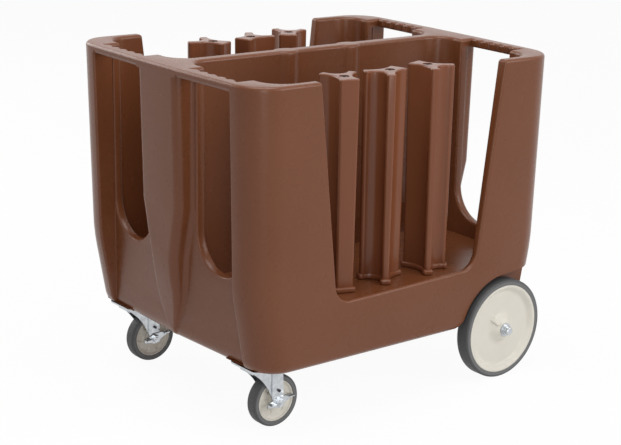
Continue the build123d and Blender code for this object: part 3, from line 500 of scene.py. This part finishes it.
@dataclass
class DividerTower:
    """One adjustable divider: hollow column, tie rod and clamp plate."""

    number: int
    plastic: bpy.types.Material
    rod_steel: bpy.types.Material
    plate_steel: bpy.types.Material
    crisp_degrees: float = 40.0

    def build(self) -> None:
        """Replace the column by its merged copy and dress the steel parts."""
        name = f"tower_{self.number}"
        column = wear(merged_copy(f"{name}_column", f"{name}_skin", self.crisp_degrees), self.plastic)
        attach(column, name)
        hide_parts(f"{name}_column")
        wear(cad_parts[f"{name}_tie_rod"], self.rod_steel)
        wear(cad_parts[f"{name}_clamp_nut"], self.plate_steel)
        log.info("%s: %d faces", column.name, len(column.data.polygons))


@dataclass
class RearWheel:
    """Large fixed wheel: dished cream disc with a raised key, and its grey tyre."""

    side: Side
    cream: bpy.types.Material
    steel: bpy.types.Material
    segments: int = 128
    lip_width: float = 9 * MM
    lip_rounding: float = 2.2 * MM
    dish_depth: float = 12 * MM
    web: float = 9 * MM
    boss_base: float = 32 * MM
    boss_end: float = 20 * MM
    boss_proud: float = 6 * MM
    key_reach: tuple = (21 * MM, 42 * MM)
    key_half_width: float = 6 * MM
    key_height: float = 8 * MM
    shoulder: float = 6 * MM
    bead_rounding: float = 1.5 * MM
    tread_start: float = 0.8
    sleeve_wall: float = 3 * MM
    hub_draft: float = 3 * MM
    rim_inset: float = 3 * MM
    dish_run: float = 6 * MM
    key_blend: float = 2 * MM
    face_margin: float = 1 * MM
    profile_step: float = 2.5 * MM

    def build(self) -> None:
        """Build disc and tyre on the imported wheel's places, and dress the axle's parts."""
        word = self.side.word
        low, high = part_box(f"{word}_rear_tyre")
        self.centre = (low + high) / 2
        self.face = high.y if self.side is Side.RIGHT else -low.y
        self.back = self.face - (high.y - low.y)
        self.radius = (high.z - low.z) / 2
        disc_low, disc_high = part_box(f"{word}_rear_wheel_disc")
        self.disc_radius = (disc_high.z - disc_low.z) / 2
        self.hub_back = min(abs(disc_low.y), abs(disc_high.y))
        sleeve_low, sleeve_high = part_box(f"{word}_axle_sleeve")
        self.bore = (sleeve_high.z - sleeve_low.z) / 2 - self.sleeve_wall
        pieces = (
            (self.tyre(), "rear_tyre", "grey_rubber"),
            (self.disc(), "rear_wheel_disc", "cream_plastic"),
        )
        for piece, node, slot in pieces:
            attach(piece, f"{word}_rear_wheel")
            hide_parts(f"{word}_{node}")
            log.info("%s: %d faces", piece.name, len(piece.data.polygons))
        for node in ("axle_washer", "axle_cap", "axle_sleeve", "axle_bracket", "bracket_bolts"):
            wear(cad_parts[f"{word}_{node}"], self.steel)

    def tyre(self) -> bpy.types.Object:
        """Turn the tyre's profile, a plain tread between rounded shoulders.

        Returns:
            The tyre.
        """
        sign = self.side.value
        word = self.side.word
        profile = rounded(
            [
                (sign * self.back, self.disc_radius),
                (sign * self.back, self.radius),
                (sign * self.face, self.radius),
                (sign * self.face, self.disc_radius),
            ],
            [0.0, self.shoulder, self.shoulder, self.bead_rounding],
        )
        tread_radius = self.radius - self.shoulder * self.tread_start
        finish = GreyRubber(f"{word}_tyre_rubber", tuple(self.centre), tread_radius)
        points = turned(profile, self.centre, self.segments)
        return wear(grid_piece(f"{word}_drive_tyre", points, True, True), finish.make())

    def disc(self) -> bpy.types.Object:
        """Turn the disc's profile, then raise the key beside its boss.

        The outer face is lifted by the key's height times a window that is 1 inside the key's
        radial and sideways span and falls smoothly to 0 around it.

        Returns:
            The disc.
        """
        sign = self.side.value
        dish = self.face - self.dish_depth
        lip = self.disc_radius - self.lip_width
        corners = [
            (self.hub_back, self.bore),
            (self.hub_back, self.boss_end + self.hub_draft),
            (dish - self.web, self.boss_base),
            (dish - self.web, lip),
            (self.back + self.rim_inset, lip),
            (self.back + self.rim_inset, self.disc_radius),
            (self.face, self.disc_radius),
            (self.face, lip + self.rim_inset),
            (dish, lip - self.lip_width),
            (dish, self.boss_base + self.dish_run),
            (self.face + self.boss_proud, self.boss_end),
            (self.face + self.boss_proud, self.bore),
        ]
        radii = [size * MM for size in (0, 2, 5, 3, 2, 0.5, 1.5, 2.5, 5, 7, 2, 0.6)]
        profile = subdivided(corners, self.profile_step, radii) * np.array([sign, 1.0])
        points = turned(profile, self.centre, self.segments * 2)
        place = points - np.array(self.centre)
        along = (-place[..., 0] + place[..., 2]) / math.sqrt(2)
        sideways = np.abs(place[..., 0] + place[..., 2]) / math.sqrt(2)
        edge = self.key_blend
        key_start, key_end = self.key_reach
        inside = smooth_step((along - key_start) / edge) * smooth_step((key_end - along) / edge)
        window = inside * smooth_step((self.key_half_width - sideways) / edge)
        depth = sign * points[..., 1]
        outer = (depth > dish - self.face_margin) & (depth < self.face)
        points[..., 1] += sign * self.key_height * window * outer
        return wear(grid_piece(f"{self.side.word}_drive_disc", points, True, True), self.cream)


def smooth_step(value: np.ndarray) -> np.ndarray:
    """Rise smoothly from 0 at -0.5 to 1 at 0.5."""
    t = np.clip(value + 0.5, 0.0, 1.0)
    return t * t * (3 - 2 * t)


def subdivided(points: list[tuple[float, float]], step: float, radii: list[float]) -> np.ndarray:
    """Round a closed profile and divide its long straight spans.

    Args:
        points: corners of the profile, in order.
        step: longest span that is left whole.
        radii: rounding at each corner.

    Returns:
        The finer profile, one row for each point.
    """
    outline = rounded(points, radii)
    following = np.roll(outline, -1, axis=0)
    counts = np.maximum(1, np.ceil(np.linalg.norm(following - outline, axis=1) / step).astype(int))
    starts = np.repeat(outline, counts, axis=0)
    stops = np.repeat(following, counts, axis=0)
    first = np.repeat(np.cumsum(counts) - counts, counts)
    share = (np.arange(counts.sum()) - first) / np.repeat(counts, counts)
    return starts + (stops - starts) * share[:, None]


@dataclass
class SwivelCaster:
    """Braked swivel caster: zinc plate and fork, cream hub with pockets, grey tyre."""

    side: Side
    cream: bpy.types.Material
    steel: bpy.types.Material
    dark_steel: bpy.types.Material
    segments: int = 96
    shoulder: float = 7 * MM
    pocket_ring: float = 32.5 * MM
    pocket_radius: float = 8.5 * MM
    pocket_depth: float = 4 * MM
    pockets: int = 6
    pocket_blend: float = 2 * MM
    bead_rounding: float = 1.5 * MM
    tread_start: float = 0.6
    web: float = 9 * MM
    rim: float = 6 * MM
    rim_setback: float = 2 * MM
    boss_radii: tuple = (13 * MM, 15 * MM, 17 * MM)
    face_margin: float = 1 * MM
    profile_step: float = 1.5 * MM

    def build(self) -> None:
        """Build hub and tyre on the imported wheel's places, and dress the steel parts."""
        word = self.side.word
        low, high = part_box(f"{word}_caster_tyre")
        self.centre = (low + high) / 2
        self.half_width = (high.y - low.y) / 2
        self.radius = (high.z - low.z) / 2
        hub_low, hub_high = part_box(f"{word}_caster_hub")
        self.hub_radius = (hub_high.z - hub_low.z) / 2
        self.hub_half = (hub_high.y - hub_low.y) / 2
        bush_low, bush_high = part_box(f"{word}_caster_bush")
        self.bore = (bush_high.z - bush_low.z) / 2
        pieces = (
            (self.tyre(), "caster_tyre", "caster_rubber"),
            (self.hub(), "caster_hub", "cream_plastic"),
        )
        for piece, node, slot in pieces:
            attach(piece, f"{word}_caster_wheel")
            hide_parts(f"{word}_{node}")
            log.info("%s: %d faces", piece.name, len(piece.data.polygons))
        plated = ("plate", "plate_bolts", "kingpin", "fork", "bush", "axle_bolt", "axle_nut", "brake_lever")
        for node in plated:
            wear(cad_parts[f"{word}_caster_{node}"], self.steel)
        for node in ("balls", "brake_rivet"):
            wear(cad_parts[f"{word}_caster_{node}"], self.dark_steel)

    def tyre(self) -> bpy.types.Object:
        """Turn the tyre's rounded profile.

        Returns:
            The tyre.
        """
        middle = self.centre.y
        profile = rounded(
            [
                (middle - self.half_width, self.hub_radius),
                (middle - self.half_width, self.radius),
                (middle + self.half_width, self.radius),
                (middle + self.half_width, self.hub_radius),
            ],
            [self.bead_rounding, self.shoulder, self.shoulder, self.bead_rounding],
        )
        tread_radius = self.radius - self.shoulder * self.tread_start
        finish = GreyRubber(f"{self.side.word}_caster_rubber", tuple(self.centre), tread_radius)
        points = turned(profile, self.centre, self.segments)
        return wear(grid_piece(f"{self.side.word}_swivel_tyre", points, True, True), finish.make())

    def hub(self) -> bpy.types.Object:
        """Turn the hub's profile, then sink a ring of round pockets into both faces.

        A face point at radius r and angle t is moved inwards by the pocket depth times a window
        that is 1 inside the nearest pocket and falls smoothly to 0 at its edge.

        Returns:
            The hub.
        """
        middle = self.centre.y
        half = self.half_width
        boss_end, boss_face, boss_base = self.boss_radii
        side = [
            (self.hub_half, self.bore),
            (self.hub_half, boss_end),
            (half, boss_face),
            (self.web, boss_base),
            (self.web, self.hub_radius - self.rim),
            (half - self.rim_setback, self.hub_radius - self.rim / 2),
            (half - self.rim_setback, self.hub_radius),
        ]
        radii = [size * MM for size in (0, 1, 1.5, 2, 2.5, 1, 0)]
        corners = [(-a, r) for a, r in side] + [(a, r) for a, r in reversed(side)]
        profile = subdivided(corners, self.profile_step, radii + radii[::-1])
        points = turned(profile + np.array([middle, 0.0]), self.centre, self.segments * 2)
        place = points - np.array(self.centre)
        radius = np.hypot(place[..., 0], place[..., 2])
        angle = np.arctan2(place[..., 2], place[..., 0])
        step = 2 * np.pi / self.pockets
        nearest = np.round(angle / step) * step
        off = np.hypot(radius - self.pocket_ring, self.pocket_ring * (angle - nearest))
        window = smooth_step((self.pocket_radius - off) / self.pocket_blend)
        depth = np.abs(place[..., 1])
        on_web = (depth < self.web + self.face_margin) & (depth > self.web - self.face_margin)
        points[..., 1] -= np.sign(place[..., 1]) * self.pocket_depth * window * on_web
        return wear(grid_piece(f"{self.side.word}_swivel_hub", points, True, True), self.cream)


@dataclass
class Studio:
    """Camera at the photograph's angle, plain soft light, pale floor and white background."""

    azimuth: float = -39.231
    elevation: float = 16.744
    roll: float = 0.992
    distance: float = 3.95034
    focal_pixels: float = 1575.787
    target: tuple = (-0.010032, 0.0, 0.372247)
    sensor: float = 36.0
    world_light: float = 0.16
    floor_white: float = 0.95
    floor_reach: float = 12.0

    def camera(self) -> None:
        """Place the camera.

        Its back axis points from the target at the azimuth and elevation, and its side and up axes
        are turned round it by the roll.
        """
        turn, lift, roll = (math.radians(a) for a in (self.azimuth, self.elevation, self.roll))
        back = Vector((math.sin(turn) * math.cos(lift), -math.cos(turn) * math.cos(lift), math.sin(lift)))
        level = Vector((0, 0, 1)).cross(back).normalized()
        upright = back.cross(level)
        right = math.cos(roll) * level + math.sin(roll) * upright
        up = math.cos(roll) * upright - math.sin(roll) * level
        data = bpy.data.cameras.new("photo_camera")
        data.sensor_width = self.sensor
        data.lens = self.focal_pixels / PHOTO_WIDTH * self.sensor
        data.clip_end = 50.0
        camera = bpy.data.objects.new("photo_camera", data)
        bpy.context.scene.collection.objects.link(camera)
        place = Vector(self.target) + back * self.distance
        camera.matrix_world = Matrix.Translation(place) @ Matrix((right, up, back)).transposed().to_4x4()
        bpy.context.scene.camera = camera

    def lamp(self, name: str, place: tuple, aim: tuple, size: tuple, power: float) -> None:
        """Add a rectangular soft light.

        Args:
            name: name of the light.
            place: where it stands.
            aim: the point that it faces.
            size: its width and height.
            power: its watts.
        """
        data = bpy.data.lights.new(name, "AREA")
        data.shape = "RECTANGLE"
        data.size, data.size_y = size
        data.energy = power
        light = bpy.data.objects.new(name, data)
        bpy.context.scene.collection.objects.link(light)
        light.location = place
        light.rotation_euler = (Vector(aim) - Vector(place)).to_track_quat("-Z", "Y").to_euler()

    def world(self) -> None:
        """White world for the camera and for reflections, softer as a light on the object."""
        world = bpy.data.worlds.new("studio_world")
        bpy.context.scene.world = world
        world.use_nodes = True
        tree = world.node_tree
        sky = tree.nodes["Background"]
        sky.inputs["Color"].default_value = (1.0, 1.0, 1.0, 1.0)
        sky.inputs["Strength"].default_value = self.world_light
        white = tree.nodes.new("ShaderNodeBackground")
        white.inputs["Color"].default_value = (1.0, 1.0, 1.0, 1.0)
        white.inputs["Strength"].default_value = 1.0
        mix = tree.nodes.new("ShaderNodeMixShader")
        path = tree.nodes.new("ShaderNodeLightPath")
        seen = path.outputs[SEEN_RAYS[0]]
        for ray in SEEN_RAYS[1:]:
            add = tree.nodes.new("ShaderNodeMath")
            tree.links.new(seen, add.inputs[0])
            tree.links.new(path.outputs[ray], add.inputs[1])
            seen = add.outputs[0]
        tree.links.new(seen, mix.inputs["Fac"])
        tree.links.new(sky.outputs[0], mix.inputs[1])
        tree.links.new(white.outputs[0], mix.inputs[2])
        tree.links.new(mix.outputs[0], tree.nodes["World Output"].inputs["Surface"])

    def floor(self) -> None:
        """Pale floor, nearly white to the camera and in reflections, with a faint shadow."""
        mesh = bpy.data.meshes.new("studio_floor")
        reach = self.floor_reach
        corners = [(-reach, -reach, 0), (reach, -reach, 0), (reach, reach, 0), (-reach, reach, 0)]
        mesh.from_pydata(corners, [], [(0, 1, 2, 3)])
        floor = bpy.data.objects.new("studio_floor", mesh)
        bpy.context.scene.collection.objects.link(floor)
        n = Nodes("studio_floor")
        n.dress(Base_Color=(0.86, 0.86, 0.86, 1.0), Roughness=0.9)
        glow = n.add("ShaderNodeEmission", Strength=1.0)
        path = n.add("ShaderNodeLightPath")
        seen = 0.0
        for ray in SEEN_RAYS:
            seen = n.maths("ADD", path.outputs[ray], seen)
        seen = n.maths("MULTIPLY", seen, self.floor_white)
        mix = n.add("ShaderNodeMixShader")
        n.tree.links.new(seen, mix.inputs["Fac"])
        n.tree.links.new(n.shader.outputs[0], mix.inputs[1])
        n.tree.links.new(glow.outputs[0], mix.inputs[2])
        n.tree.links.new(mix.outputs[0], n.tree.nodes["Material Output"].inputs["Surface"])
        mesh.materials.append(n.material)

    def build(self) -> None:
        """Set the colour view, camera, lights, world and floor."""
        bpy.context.scene.view_settings.view_transform = "Standard"
        self.camera()
        self.lamp("corner_softbox", (-2.6, -3.6, 1.3), (-0.3, -0.2, 0.5), (0.9, 2.4), 36.0)
        self.lamp("side_softbox", (1.8, -3.6, 2.4), (0, 0, 0.4), (3.2, 2.4), 92.0)
        self.lamp("back_softbox", (-1.2, 3.8, 2.4), (0, 0, 0.4), (3.2, 2.4), 84.0)
        self.lamp("top_softbox", (-0.4, -0.4, 3.4), (0, 0, 0.4), (2.2, 2.2), 66.0)
        self.world()
        self.floor()


def main() -> None:
    """Build the studio and every sub-assembly."""
    Studio().build()
    moulding = MouldedPlastic().make()
    tower_plastic = MouldedPlastic(
        name="brown_tower_moulding", colour=(0.172, 0.056, 0.024), cloud=(0.188, 0.063, 0.028),
        roughness_low=0.18, roughness_high=0.24, grain_depth=0.00005,
    ).make()
    cream = CreamPlastic().make()
    zinc = PlatedSteel("zinc_plated_steel").make()
    dark = PlatedSteel("dark_fastener_steel", colour=(0.05, 0.05, 0.055), shade=(0.03, 0.03, 0.033)).make()
    BodyMoulding(moulding).build()
    for number in TOWERS:
        DividerTower(number, tower_plastic, dark, zinc).build()
    for side in Side:
        RearWheel(side, cream, zinc).build()
        SwivelCaster(side, cream, zinc, dark).build()
    wear(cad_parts["rear_axle"], zinc)


if __name__ == "__main__":
    main()
